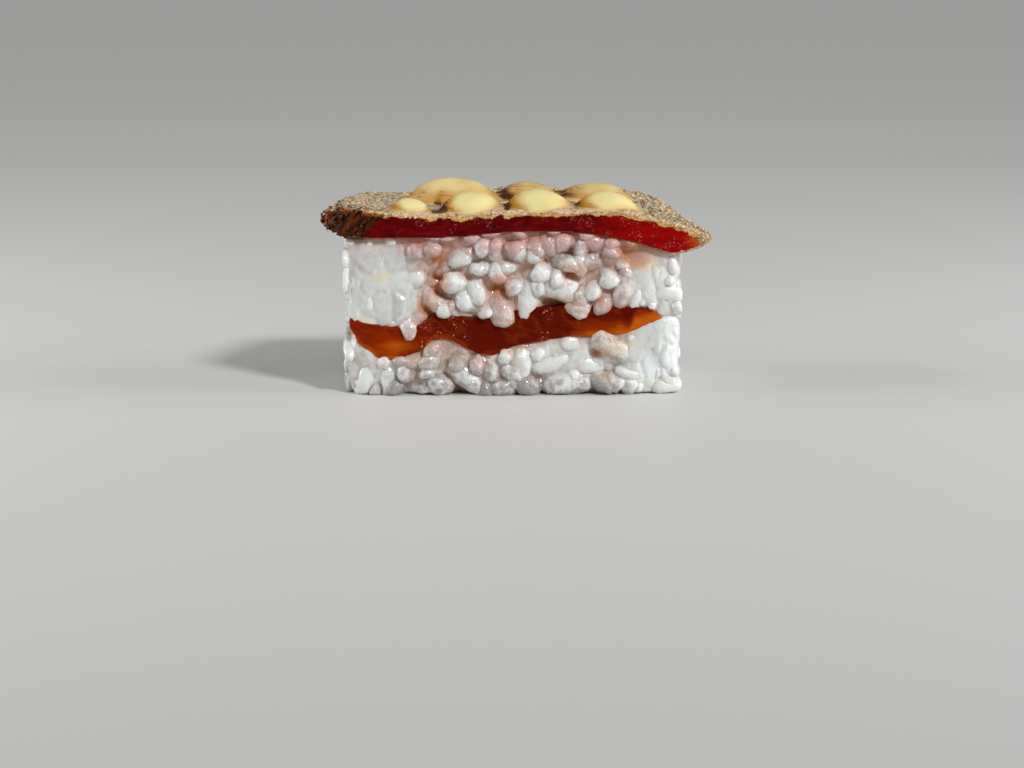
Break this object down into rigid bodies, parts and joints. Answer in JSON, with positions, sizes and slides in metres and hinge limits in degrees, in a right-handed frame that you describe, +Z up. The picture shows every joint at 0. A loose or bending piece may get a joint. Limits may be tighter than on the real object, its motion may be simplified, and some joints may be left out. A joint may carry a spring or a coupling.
{
  "type": "beef oshizushi",
  "caption": "Cut block of pressed sushi: two rice layers around an amber filling, topped with an overhanging seared beef slice and torched yellow sauce domes.",
  "frame": {"origin": "bottom centre of the block's box, on the surface it rests on", "axes": "+X along the long side of the block, to the right when facing the red cut of the beef; +Y from that front cut towards the back cut; +Z up"},
  "size_m": [0.0646, 0.028, 0.0343],
  "materials": {
    "rice": "moist translucent cooked grains with small wet glints",
    "filling": "wet, glossy and translucent, amber to dark red-brown",
    "beef": "glossy deep red cut face, granular tan seared top, charred left end",
    "sauce": "satin pale yellow with golden and scorched flanks"
  },
  "bodies": {
    "root": {"rice_lower": "rice", "rice_upper": "rice", "filling": "filling", "beef_slice": "beef", "sauce_dome_front_1": "sauce", "sauce_dome_front_2": "sauce", "sauce_dome_front_3": "sauce", "sauce_dome_front_4": "sauce", "sauce_dome_back_1": "sauce", "sauce_dome_back_2": "sauce", "sauce_dome_back_3": "sauce"}
  },
  "joints": []
}
